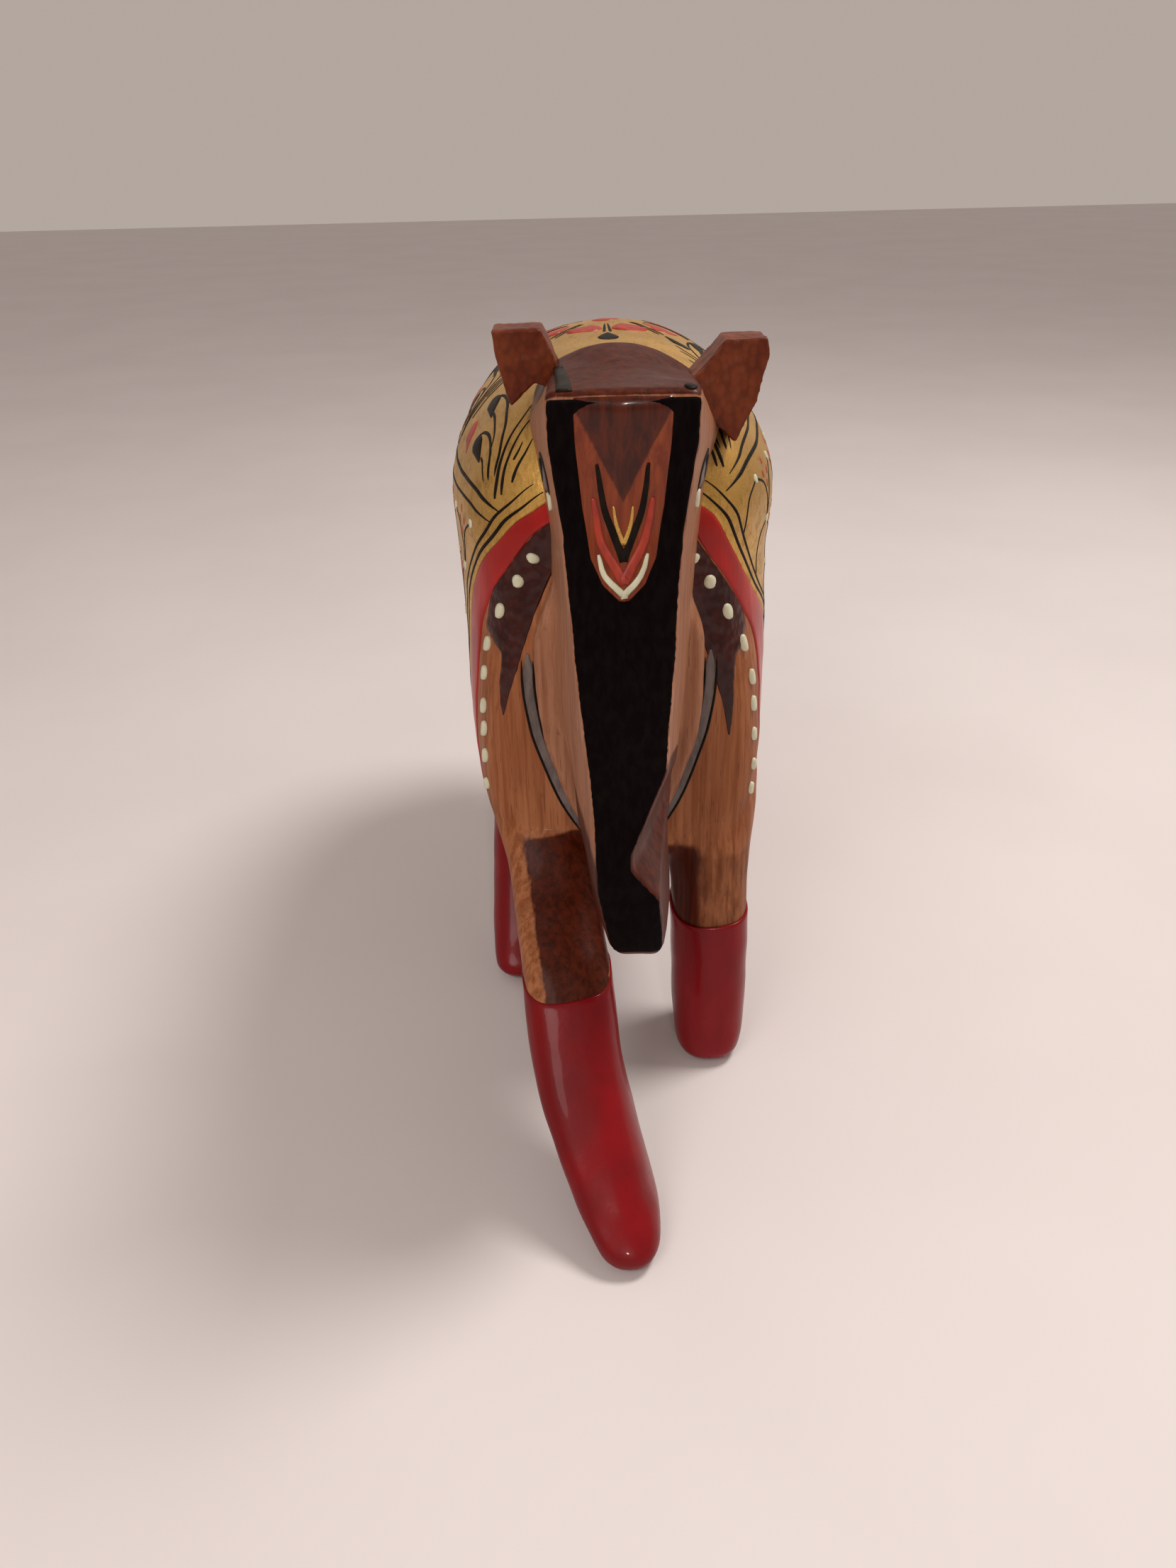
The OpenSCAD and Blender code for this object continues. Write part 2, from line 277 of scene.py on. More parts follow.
def make_materials():
    # Dark colour of stained wood, also used for painted shade.
    stain_and_shade = rgb(0.085, 0.012, 0.003)
    return {
        "wood": wood_material("body_wood", rgb(0.38, 0.145, 0.062), rgb(0.23, 0.070, 0.024), stain_and_shade),
        "head": wood_material("head_wood", rgb(0.36, 0.165, 0.092), rgb(0.26, 0.100, 0.048), stain_and_shade),
        "ear": gouged_material("ear_wood", rgb(0.175, 0.036, 0.011), rgb(0.110, 0.017, 0.005),
                               cut=0.0001, gloss=0.4, coat=0.12),
        "maroon": gouged_material("shoulder_paint", rgb(0.050, 0.007, 0.004), rgb(0.026, 0.003, 0.002),
                                  cut=0.0002, gloss=0.3, coat=0.4),
        "red": enamel_material("red_enamel", rgb(0.21, 0.003, 0.006), rgb(0.155, 0.002, 0.004)),
        "border": enamel_material("border_red", rgb(0.40, 0.012, 0.008), rgb(0.27, 0.007, 0.005),
                                  gloss=0.3, brush=0.00012, coat=0.25),
        "gold": gold_material(),
        "black": flat_paint("black_paint", rgb(0.003, 0.0015, 0.0015), rgb(0.005, 0.003, 0.003), 0.75,
                            specular=0.03),
        "line": flat_paint("black_line", rgb(0.006, 0.004, 0.003), rgb(0.014, 0.008, 0.004), 0.45,
                           specular=0.08),
        "dot": flat_paint("cream_paint", rgb(0.62, 0.61, 0.45), rgb(0.54, 0.52, 0.36), 0.4, 0.15),
        "spot": flat_paint("red_spot", rgb(0.36, 0.030, 0.010), rgb(0.26, 0.018, 0.008), 0.4),
        "grey": flat_paint("grey_paint", rgb(0.150, 0.115, 0.105), rgb(0.090, 0.066, 0.060), 0.5),
        "panel": wood_material("forehead_lacquer", rgb(0.25, 0.048, 0.011), rgb(0.15, 0.022, 0.006),
                               stain_and_shade, gloss=0.3, gouges=0.00008, coat=0.35),
    }


# ---- Mesh helpers ----

def spow(value, power):
    """A power that keeps the value's sign."""
    return np.sign(value) * np.abs(value) ** power


def ramp(value, start, reach):
    """0 until start, then rising to 1 over reach, towards lower values where reach is negative."""
    return np.clip((value - start) / reach, 0, 1)


def smooth(x, y, at):
    """A curve through the points (x, y) that never overshoots them."""
    x, y, at = (np.asarray(k, float) for k in (x, y, at))
    slope = np.diff(y) / np.diff(x)
    both = slope[:-1] * slope[1:]
    total = np.where(slope[:-1] + slope[1:] == 0, 1, slope[:-1] + slope[1:])
    tangent = np.concatenate([slope[:1], np.where(both > 0, 2 * both / total, 0), slope[-1:]])
    at = np.clip(at, x[0], x[-1])
    i = np.clip(np.searchsorted(x, at, side="right") - 1, 0, len(x) - 2)
    step = x[i + 1] - x[i]
    t = (at - x[i]) / step
    return (y[i] * (1 + 2 * t) * (1 - t) ** 2 + tangent[i] * step * t * (1 - t) ** 2
            + y[i + 1] * t * t * (3 - 2 * t) - tangent[i + 1] * step * t * t * (1 - t))


def curve(points, step=0.5):
    """A smooth run of points through the given ones, of any number of dimensions."""
    points = np.asarray(points, float)
    length = np.concatenate([[0], np.cumsum(np.linalg.norm(np.diff(points[:, :2], axis=0), axis=1))])
    at = np.linspace(0, length[-1], max(int(length[-1] / step), 4) + 1)
    ends = np.vstack([2 * points[0] - points[1], points, 2 * points[-1] - points[-2]])
    i = np.clip(np.searchsorted(length, at, side="right") - 1, 0, len(points) - 2)
    t = ((at - length[i]) / (length[i + 1] - length[i]))[:, None]
    a, b, c, d = (ends[i + k] for k in range(4))
    return 0.5 * (2 * b + (c - a) * t + (2 * a - 5 * b + 4 * c - d) * t ** 2
                  + (3 * b - a - 3 * c + d) * t ** 3)


def loft(rings):
    """A closed skin over rings of equal count, with a point in the middle of each end."""
    rings = np.asarray(rings, float)
    rows, count = rings.shape[:2]
    points = np.vstack([rings.reshape(-1, 3), rings[0].mean(0), rings[-1].mean(0)])
    first = rows * count
    faces = []
    for i in range(rows - 1):
        for j in range(count):
            k = (j + 1) % count
            faces.append((i * count + j, i * count + k, (i + 1) * count + k, (i + 1) * count + j))
    for j in range(count):
        k = (j + 1) % count
        faces.append((first, k, j))
        faces.append((first + 1, (rows - 1) * count + j, (rows - 1) * count + k))
    return points, faces


def merge(parts):
    """Several meshes as one."""
    points, faces, start = [], [], 0
    for part_points, part_faces in parts:
        points.append(part_points)
        faces.extend(tuple(k + start for k in face) for face in part_faces)
        start += len(part_points)
    return np.vstack(points), faces


def sheet(upper, lower):
    """A closed sheet between two grids of points of the same size."""
    rows, cols = upper.shape[:2]
    n = rows * cols
    index = np.arange(n).reshape(rows, cols)
    faces = []
    for i in range(rows - 1):
        for j in range(cols - 1):
            quad = (index[i, j], index[i, j + 1], index[i + 1, j + 1], index[i + 1, j])
            faces.append(tuple(int(k) for k in quad))
            faces.append(tuple(int(k) + n for k in reversed(quad)))
    rim = (list(index[0, :-1]) + list(index[:-1, -1]) + list(index[-1, :0:-1]) + list(index[:0:-1, 0]))
    for p, q in zip(rim, rim[1:] + rim[:1]):
        faces.append((int(q), int(p), int(p) + n, int(q) + n))
    return np.vstack([upper.reshape(-1, 3), lower.reshape(-1, 3)]), faces


def blank(points, faces):
    """A Blender mesh in metres with its faces turned outwards."""
    mesh = bpy.data.meshes.new("blank")
    mesh.from_pydata((np.asarray(points) * MM).tolist(), [], faces)
    work = bmesh.new()
    work.from_mesh(mesh)
    bmesh.ops.recalc_face_normals(work, faces=work.faces)
    work.to_mesh(mesh)
    work.free()
    return mesh


def evaluated(mesh, *modifiers):
    """The points (mm) and faces of a mesh after modifiers, each a kind and its settings."""
    thing = bpy.data.objects.new("work", mesh)
    bpy.context.scene.collection.objects.link(thing)
    for kind, settings in modifiers:
        modifier = thing.modifiers.new(kind, kind)
        for key, value in settings.items():
            setattr(modifier, key, value)
    result = thing.evaluated_get(bpy.context.evaluated_depsgraph_get()).to_mesh()
    points = np.array([v.co[:] for v in result.vertices]) / MM
    faces = [tuple(p.vertices) for p in result.polygons]
    bpy.data.objects.remove(thing)
    bpy.data.meshes.remove(mesh)
    return points, faces


def carve(parts, voxel, rounds):
    """One continuous solid out of overlapping closed skins, with its inner corners softened."""
    points, faces = merge(parts)
    return evaluated(
        blank(points, faces),
        ("REMESH", {"mode": "VOXEL", "voxel_size": voxel * MM, "adaptivity": 0.0}),
        ("SMOOTH", {"factor": 0.5, "iterations": rounds}))


def normals_of(points, faces):
    mesh = blank(points, faces)
    result = np.array([n.vector[:] for n in mesh.vertex_normals])
    bpy.data.meshes.remove(mesh)
    return result


def rumpled(points, faces, size, depth, seed=0):
    """Points moved in and out by up to depth, in soft waves of the given size."""
    shift = Vector((seed * 17.3, seed * 5.1, seed * 9.7))
    wave = np.array([noise.noise(Vector(p) / size + shift) for p in points])
    return points + normals_of(points, faces) * (wave * depth)[:, None]


class Surface:
    """A finished surface that paint can lie on."""

    def __init__(self, points, faces):
        self.tree = BVHTree.FromPolygons([tuple(p) for p in points], faces)

    def snap(self, points):
        """The nearest place on the surface to each point, and the direction out of it."""
        flat = np.asarray(points, float).reshape(-1, 3)
        place = np.empty_like(flat)
        out = np.empty_like(flat)
        for i, point in enumerate(flat):
            hit, normal, _, _ = self.tree.find_nearest(Vector(point))
            place[i] = hit
            out[i] = normal
        return place.reshape(np.shape(points)), out.reshape(np.shape(points))

    def shoot(self, points, direction):
        """Where rays from the points along a direction meet the surface."""
        hits = [self.tree.ray_cast(Vector(p), Vector(direction))[0] for p in points]
        return np.array([h if h is not None else p for h, p in zip(hits, points)], float)


def add(name, shape, material, replaces=(), stain_and_shade=None):
    """Makes a piece of the figure out of points and faces."""
    points, faces = shape
    mesh = blank(points, faces)
    mesh.name = name
    mesh.materials.append(material)
    mesh.polygons.foreach_set("use_smooth", [True] * len(mesh.polygons))
    if stain_and_shade is not None:
        # A darkening layer on the mesh, holding real stain and painted shade.
        layer = mesh.attributes.new("stain_and_shade", "FLOAT", "POINT")
        layer.data.foreach_set("value", np.asarray(stain_and_shade, np.float32))
    piece = bpy.data.objects.new(name, mesh)
    bpy.context.scene.collection.objects.link(piece)
    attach(piece, "root")
    if replaces:
        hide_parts(*replaces)
    return piece


# How deep paint is rooted in the surface under it
ROOT = 0.35


def coat(surface, grid, lift):
    """A thin closed skin of paint over a grid of points, thinner along its rim."""
    place, out = surface.snap(grid)
    rows, cols = grid.shape[:2]
    i, j = np.indices((rows, cols))
    rim = np.minimum(np.minimum(i, rows - 1 - i), np.minimum(j, cols - 1 - j))
    at_rim = 0.35
    rise = np.where(rim == 0, at_rim, 1.0)[..., None] * lift
    return sheet(place + out * rise, place - out * ROOT)


def stroke(surface, path, widths, height):
    """One stroke of a loaded brush: rounded on top and rooted in the surface."""
    place, out = surface.snap(path)
    along = np.gradient(place, axis=0)
    across = np.cross(out, along)
    across /= np.maximum(np.linalg.norm(across, axis=1), 1e-9)[:, None]
    half = np.maximum(np.asarray(widths), 0.05)[:, None] / 2
    up = np.minimum(height, half * 1.2)
    section = ((-1, None), (-0.95, 0.3), (-0.45, 0.9), (0.45, 0.9), (0.95, 0.3), (1, None))
    base = 0.12
    rings = [place + across * half * side + out * (-ROOT if rise is None else base + up * rise)
             for side, rise in section]
    return loft(np.stack(rings, axis=1))


# ---- Torso and its chart ----

low, high = (np.array(corner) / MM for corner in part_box("torso"))
TORSO_W = high[0] - low[0]
CHEST_Y = low[1]
RUMP_Y = high[1]
BELLY_H = low[2]
BACK_H = high[2]
FLANK_H = 118.0
TORSO_MID = (CHEST_Y + RUMP_Y) / 2
TORSO_HALF = (RUMP_Y - CHEST_Y) / 2
CHEST_POWER = 3.3
BRISKET_POWER = 18.0
RUMP_POWER = 2.4
BACK_POWER = 2.0
FLANK_POWER = 5.5
NARROWING = 0.12
RUMP_DROP = 8.0


def torso_point(v, a):
    """A point of the torso: v goes from the chest (-90) to the rump (90), and a round the section,
    with 0 on the left flank, 90 on the back and 180 on the right flank."""
    v, a = np.broadcast_arrays(np.radians(v), np.radians(a))
    power = np.where(np.sin(a) > 0, BACK_POWER, FLANK_POWER)
    r = (np.abs(np.cos(a)) ** power + np.abs(np.sin(a)) ** power) ** (-1 / power)
    depth = np.maximum(-r * np.sin(a), 0)
    end = np.where(v < 0, CHEST_POWER + (BRISKET_POWER - CHEST_POWER) * depth ** 2.5, RUMP_POWER)
    swell = (1 - np.minimum(np.abs(np.sin(v)), 0.99999) ** end) ** (1 / end)
    y = TORSO_MID + TORSO_HALF * np.sin(v)
    sink = RUMP_DROP * (np.maximum(y - TORSO_MID, 0) / TORSO_HALF) ** 2
    tall = np.where(np.sin(a) > 0, BACK_H - FLANK_H, FLANK_H - BELLY_H) * swell
    wide = TORSO_W / 2 * swell * (1 - NARROWING * depth)
    return np.stack([wide * r * np.cos(a), y, FLANK_H - sink + tall * r * np.sin(a)], -1)


def run_length(points):
    return np.concatenate([[0], np.cumsum(np.linalg.norm(np.diff(points, axis=0), axis=1))])


CHART_V = np.linspace(-89, 89, 713)
CHART_U = run_length(torso_point(CHART_V, 0.0))
CHART_A = np.linspace(-90, 270, 1441)
CHART_S = run_length(torso_point(0.0, CHART_A))
CHART_S -= np.interp(0, CHART_A, CHART_S)
RIDGE = float(np.interp(90, CHART_A, CHART_S))


def on_flank(side, u, s):
    """A place on a flank: u mm back from the middle of the chest, s mm up from the widest line.
    side is 1 on the animal's left and -1 on its right, and s past RIDGE is over the back."""
    a = np.interp(s, CHART_S, CHART_A)
    point = torso_point(np.interp(u, CHART_U, CHART_V), a)
    return point * np.array([side, 1, 1])


# Legs: height, centre x, centre y, half width, half depth
LEG_ROWS = {
    "front_right": ((0, -0.6, -83.5, 4.3, 9.5), (3, -1, -83.6, 6, 11.1), (10, -4.2, -77.8, 7.2, 11),
                    (25, -9.6, -63.8, 8.3, 10.5), (40, -11.8, -49, 8.6, 10.5), (52, -14, -31.5, 9.4, 11),
                    (66, -17.5, -19, 10.5, 12), (78, -18.5, -12, 10.5, 12)),
    "front_left": ((0, 19.2, -32.3, 5, 8), (3, 19.3, -32.4, 6.8, 9.6), (10, 19.4, -31.2, 7.6, 9.8),
                   (25, 19.4, -29.2, 7.9, 9.8), (40, 19.1, -27.2, 8.1, 10), (52, 18.6, -25, 9.2, 11.2),
                   (66, 18, -20, 10.5, 12.5), (78, 17.5, -14, 10.5, 12.5)),
    "rear_right": ((0, -23, -2, 5.5, 8), (3, -23, -2.5, 7, 10), (10, -23, 4, 7.4, 10),
                   (25, -22.5, 17, 7.6, 10.5), (40, -21.5, 30, 8.5, 11.5), (52, -20, 40, 10, 14),
                   (66, -18.5, 48, 11, 16), (78, -18, 52, 11, 16)),
    "rear_left": ((0, 22, 79, 5.5, 8), (3, 22, 79, 7, 10), (10, 22, 78, 7.4, 10),
                  (25, 21.5, 74, 7.6, 10), (40, 20.8, 69, 8.5, 11.5), (52, 20, 64, 10, 14),
                  (66, 18.5, 59, 11, 16), (78, 18, 56, 11, 16)),
}
SOCK_H = (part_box("front_left_foot")[1][2]) / MM


def leg_ring(rows, z, grow, count=48):
    """One slice of a leg. z may be one height or one for each point of the slice."""
    turn = np.linspace(0, 2 * np.pi, count, endpoint=False)
    z = np.broadcast_to(np.asarray(z, float), turn.shape)
    heights, x, y, half_x, half_y = (np.array(column, float) for column in zip(*rows))
    return np.stack([
        smooth(heights, x, z) + (smooth(heights, half_x, z) + grow) * spow(np.cos(turn), 0.75),
        smooth(heights, y, z) + (smooth(heights, half_y, z) + grow) * spow(np.sin(turn), 0.75), z], -1)


def body_shape():
    """The torso and the legs as one carved blank."""
    rings = [torso_point(v, -np.arange(0, 360, 3.0)) for v in np.linspace(-87, 87, 90)]
    parts = [loft(rings)]
    in_sock = -0.8
    for rows in LEG_ROWS.values():
        parts.append(loft([leg_ring(rows, z, in_sock if z < SOCK_H - 4 else 0)
                           for z in np.arange(0.8, rows[-1][0], 1.6)]))
    points, faces = carve(parts, 0.9, 9)
    points = rumpled(points, faces, 16, 0.5, 1)
    return rumpled(points, faces, 5, 0.14, 2), faces


# How much higher, in mm, the red paint ends on one leg than on another
SOCK_STEP = {"front_right": 0.6, "front_left": -1.6, "rear_right": 0, "rear_left": 0}


def foot_shape(leg, seed):
    """The enamelled end of a leg, with the uneven edge that a brush leaves."""
    rows = LEG_ROWS[leg]
    grow = 0.3
    rounded = 0.045
    turn = np.linspace(0, 2 * np.pi, 48, endpoint=False)
    wave = np.array([noise.noise(Vector((math.cos(t), math.sin(t), seed))) for t in turn])
    top = SOCK_H - 0.6 + SOCK_STEP[leg] + wave * 0.9
    shares = np.concatenate([[0.0, 0.006, 0.02, rounded], np.linspace(0.08, 1, 42)])
    rings = [leg_ring(rows, top * share, grow - 0.9 * (1 - min(share / rounded, 1)) ** 2)
             for share in shares]
    rings.append(leg_ring(rows, top + 0.15, grow - 0.25))
    rings.append(leg_ring(rows, top - 0.4, -0.9))
    points, faces = loft(rings)
    points = rumpled(points, faces, 7, 0.18, seed)
    points[:, 2] = np.maximum(points[:, 2], 0)
    return points, faces


# ---- Head and trunk ----

# Height, front, back, half width in front, half width behind
HEAD_ROWS = (
    (52, -67.5, -58, 3.8, 5), (56, -70, -55, 5, 7), (68, -74, -50, 5.3, 8), (78, -76.5, -47, 5.6, 9),
    (86, -75, -38, 6, 11.5), (94, -71, -26, 6.8, 14.3), (106, -65.5, -16, 8, 15.6),
    (118, -61.5, -10, 9, 16.2), (128, -60, -8, 9.9, 18), (136, -61, -8, 10.8, 19),
    (142, -62.5, -10, 11.4, 17), (146.5, -63.5, -14, 11.4, 13.5), (148, -62.8, -22, 10.7, 11.5))
TRUNK_END = HEAD_ROWS[0][0]
HEAD_TOP = HEAD_ROWS[-1][0]
# Height and half width
THROAT_ROWS = ((56, 4), (62, 7.5), (66, 9.5), (73, 12), (82, 14.5), (92, 15.5), (100, 15.4), (108, 13),
               (118, 9))
THROAT_FRONT = -41.0
THROAT_BACK = -24.0
HEAD_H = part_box("head_and_trunk")[1][2] / MM
# The notch's skin at y = -76: height and distance to the left
NOTCH = ((54, 12.6), (76, 0.6), (79, 0.6), (113, 12.6))
NOTCH_TOP = 112
TURNED = 0.045
CURL = 0.11


def head_read(z, column):
    heights = [row[0] for row in HEAD_ROWS]
    return smooth(heights, [row[column] for row in HEAD_ROWS], z)


def middle_x(y, z):
    """How far the head's middle is to the left: it is turned a little, and the trunk's end curls."""
    return TURNED * ramp(z, 95, 25) * (y - head_read(z, 1)) + CURL * np.maximum(70 - z, 0)


def head_ring(z):
    """A slice of the head: a box wider behind than in front, with small round corners."""
    front, back, half_front, half_back = (float(head_read(z, k)) for k in (1, 2, 3, 4))
    corner = 1.3
    side = np.linspace(0, 1, 15)
    edge = np.linspace(-1, 1, 15)[1:-1]
    arc = np.radians(np.linspace(0, 90, 5))
    left = [(half_front * 0.999 - corner + corner * math.cos(a), front + corner - corner * math.sin(a))
            for a in arc[::-1]]
    left += [(half_front + (half_back - half_front) * t, front + corner + (back - front - 2 * corner) * t)
             for t in side[1:-1]]
    left += [(half_back - corner + corner * math.cos(a), back - corner + corner * math.sin(a)) for a in arc]
    points = left + [((half_back - corner) * -t, back) for t in edge]
    points += [(-x, y) for x, y in reversed(left)] + [((half_front - corner) * t, front) for t in edge]
    return np.array([(x + middle_x(y, z), y, z) for x, y in points])


def arched(points):
    """Rounds the top of the head over towards the neck; the brow stays straight."""
    x, y, z = points.T
    return np.stack([x, y, z - 0.026 * x ** 2 * ramp(y, -61, 34) * ramp(z, 134, 12)], -1)


def notch_x(y, z):
    """The skin of the gouged notch in the left side of the trunk."""
    return np.interp(z, *zip(*NOTCH)) + 0.3 * (y + 76)


def notched(points):
    x, y, z = points.T
    limit = notch_x(y, z)
    return np.stack([np.where((z < NOTCH_TOP) & (x > limit), limit, x), y, z], -1)


def head_shape():
    """The head, the trunk and the throat as one carved block."""
    rim = 1.5
    heights = np.concatenate([np.arange(TRUNK_END, HEAD_TOP - rim, 0.8),
                              HEAD_TOP - np.array([rim, 1, 0.5, 0])])
    block_points, block_faces = loft([head_ring(min(z, HEAD_TOP)) for z in heights * HEAD_H / HEAD_TOP])
    z, half = zip(*THROAT_ROWS)
    levels = np.linspace(z[0], z[-1], 60)
    wide = smooth(z, half, levels)
    depth = np.linspace(THROAT_BACK, THROAT_FRONT, 14)
    inset = np.maximum(THROAT_FRONT + 1.5 - depth, 0) ** 2 / 1.6
    left = np.stack([wide, np.zeros(len(wide)), levels], -1)
    ring = np.vstack([left, left[::-1] * (-1, 1, 1)])
    middle = np.array([0, 0, 92.0])
    throat = [ring + (middle - ring) * np.array([s / 18, 0, s / 40]) + np.array([0, y, 0])
              for y, s in zip(depth, inset)]
    points, faces = carve([(notched(arched(block_points)), block_faces), loft(throat)], 0.65, 3)
    points = rumpled(points, faces, 11, 0.3, 3)
    return rumpled(points, faces, 3.5, 0.1, 4), faces


RIGHT_EAR_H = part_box("right_ear")[1][2] / MM
LEFT_EAR_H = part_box("left_ear")[1][2] / MM
RIGHT_EAR = ((-9.5, 145), (-10.6, 148.3), (-12.3, RIGHT_EAR_H), (-20.5, RIGHT_EAR_H), (-19.6, 145.5),
             (-17.8, 139.3), (-13.6, 143), (-11, 142))
LEFT_EAR = ((12.5, 143), (15.2, 145.5), (18.3, LEFT_EAR_H), (25.4, LEFT_EAR_H), (25.8, 146.5), (24, 139.1),
            (20.6, 132.3), (18.3, 134.5), (15.5, 137))


def ear_shape(outline, seed):
    """A wedge cut to its outline, which is seen from the front, and worked over with a gouge."""
    front, back = -28.8, -20.2
    board = loft([[(x, y, z) for x, z in outline] for y in np.linspace(front, back, 12)])
    points, faces = carve([board], 0.4, 2)
    points = rumpled(points, faces, 4.5, 0.22, seed)
    return rumpled(points, faces, 1.1, 0.10, seed + 1), faces


def tail_shape():
    """A short tail, its outline seen from the side."""
    half = 1.8
    outline = ((80, 124), (88, 116), (93, 106), (95, 94), (95, 80), (93.2, 70), (91.5, 66), (89, 71),
               (89, 80), (88, 94), (86, 106), (80, 114))
    board = loft([[(x, y, z) for y, z in outline] for x in np.linspace(-half, half, 4)])
    points, faces = carve([board], 0.5, 5)
    return rumpled(points, faces, 4, 0.2, 9), faces


# ---- Paint ----

# Lines across each flank, as places s and u: the saddle's front edge and the red band's front edge
SADDLE_LINE = {
    -1: ((-60, 33), (-24.7, 32.4), (-16.5, 30), (-10.5, 26.3), (-0.8, 18.3), (5, 15.2), (10.7, 12.6),
         (20, 10.8), (RIDGE, 10.0)),
    1: ((-60, 38), (-27, 36.8), (-22.3, 33.5), (-15.4, 25.4), (-9, 20.6), (0, 16.2), (6, 14.5), (14, 12),
        (25, 10.8), (RIDGE, 10.0))}
BORDER_LINE = {
    -1: ((-60, 24.5), (-42.6, 24.1), (-27.8, 23.2), (-22.3, 23.1), (-17.2, 21.4), (-8.6, 16.5), (3, 11.2),
         (10, 8.6), (20, 7.2), (RIDGE, 6.6)),
    1: ((-60, 26.5), (-42.9, 26), (-30.5, 24.1), (-24.9, 22.8), (-20.3, 19.5), (-14, 16.2), (-7, 12.9),
        (3, 10), (15, 8), (RIDGE, 6.6))}
SADDLE_LOW = -62.0
SADDLE_REAR = float(np.interp(36, CHART_V, CHART_U))
BORDER_W = 5.0


def line_at(line, side, s):
    """How far back a line is at the place s on a flank."""
    places, values = zip(*line[side])
    return smooth(places, values, s)


def over_back(line, s):
    """The same, where s runs from the left flank over the ridge to the right one."""
    return line_at(line, 1, s) if s < RIDGE else line_at(line, -1, 2 * RIDGE - s)


def saddle_grid(front, rear, cols, low=SADDLE_LOW):
    """Rows of points over the back, from the left flank's foot to the right one's."""
    row_count = 190
    rows = np.linspace(low, 2 * RIDGE - low, row_count)
    share = np.linspace(0, 1, cols)
    return np.array([on_flank(1, front(s) + (rear(s) - front(s)) * share, np.full(cols, s))
                     for s in rows])


def saddle_shapes(body):
    """The gold coat, and the red band that goes round it."""
    gold_lift, red_lift = 0.16, 0.2
    gap = 0.05
    low = SADDLE_LOW - BORDER_W
    gold = coat(body, saddle_grid(lambda s: over_back(SADDLE_LINE, s), lambda s: SADDLE_REAR, 110), gold_lift)
    front = coat(body, saddle_grid(lambda s: over_back(BORDER_LINE, s),
                                   lambda s: over_back(SADDLE_LINE, s) - gap, 10, low), red_lift)
    rear = coat(body, saddle_grid(lambda s: SADDLE_REAR + gap, lambda s: SADDLE_REAR + BORDER_W, 8, low),
                red_lift)
    foot = []
    for side in (1, -1):
        s = np.linspace(low, SADDLE_LOW - gap, 8)
        u = np.linspace(SADDLE_LINE[side][0][1] + 0.1, SADDLE_REAR, 110)
        foot.append(coat(body, np.array([on_flank(side, u, np.full(len(u), k)) for k in s]), red_lift))
    return gold, merge([front, rear] + foot)


# The rough shoulder paint: s, inner u, outer u, down to its pointed end
SHOULDER = {
    -1: ((12, 4.6, 8.0), (3, 5.5, 11.1), (-8.5, 6.7, 16.4), (-17.1, 7.2, 21.0), (-22.1, 7.4, 21.4),
         (-26.6, 7.3, 17.5), (-31.6, 7.2, 13.4), (-38, 7.2, 12), (-42, 8, 10.6), (-45, 8.9, 9.1)),
    1: ((12, 4.6, 8.0), (3, 5.5, 9.6), (-8.6, 6.2, 13.2), (-17, 6.5, 17.4), (-22.1, 6.2, 20.2),
        (-27, 5.6, 18), (-32.4, 4.6, 13.3), (-39, 4, 10.4), (-46, 4.7, 8.1), (-52.4, 5.7, 6.0)),
}


def shoulder_shape(body, side):
    s, inner, outer = zip(*reversed(SHOULDER[side]))
    cols = 26
    share = np.linspace(0, 1, cols)
    grid = []
    for k in np.linspace(s[-1], s[0], 90):
        a, b = smooth(s, inner, k), smooth(s, outer, k)
        grid.append(on_flank(side, a + (b - a) * share, np.full(cols, k)))
    points, faces = coat(body, np.array(grid), 0.14)
    return rumpled(points, faces, 1.6, 0.16, 5 + side), faces


class Brush:
    """Collects strokes of one paint on one surface."""

    # How much wider than the width it is given a loaded brush draws
    SWELL = 1.25

    def __init__(self, surface, place, height=0.14):
        self.surface = surface
        self.place = place
        self.height = height
        self.parts = []

    def draw(self, points, width, profile):
        """points are in the chart; profile gives the width's share along the stroke."""
        path = curve(points)
        t = np.linspace(0, 1, len(path))
        widths = self.SWELL * width * profile(t)
        self.parts.append(stroke(self.surface, self.place(path), widths, self.height))

    def line(self, points, width=0.55):
        self.draw(points, width, lambda t: np.minimum(1, np.minimum(t, 1 - t) * 12 + 0.25))

    def flick(self, points, width=0.6):
        """A stroke that starts full and runs out to a point."""
        self.draw(points, width,
                  lambda t: np.sqrt(np.maximum(np.minimum(1, t * 6 + 0.2) * (1 - t), 0)) + 0.08)

    def drop(self, points, width):
        """A teardrop with its round end first."""
        belly = 0.385

        def profile(t):
            head = np.sqrt(np.maximum(1 - (2.6 * t - 1) ** 2, 0))
            tail = np.maximum(1 - (t - belly) / (1 - belly), 0) ** 0.8
            return np.where(t < belly, head, tail)

        self.draw(points, width, profile)

    def oval(self, centre, length, width, angle=90.0):
        """An oval, its length at an angle up from the chart's first axis."""
        centre = np.array(centre, float)
        reach = length / 2 * np.array([math.cos(math.radians(angle)), math.sin(math.radians(angle))])
        steps = np.linspace(-1, 1, 13)
        t = np.sin(steps * np.pi / 2)
        path = centre + np.outer(t, reach)
        self.parts.append(stroke(self.surface, self.place(path), width * np.sqrt(1 - t ** 2), self.height))

    def shape(self):
        return merge(self.parts)


def on_side(side):
    return lambda path: on_flank(side, path[:, 0], path[:, 1])


# The two lines between the upper and lower fields of the saddle, on each side: their s, and the u they
# start at
FIELD_LINES = {-1: (7.2, 3.6), 1: (12.2, 15.2)}
FIELD_START = {-1: (19.2, 20.8), 1: (18.7, 21.5)}


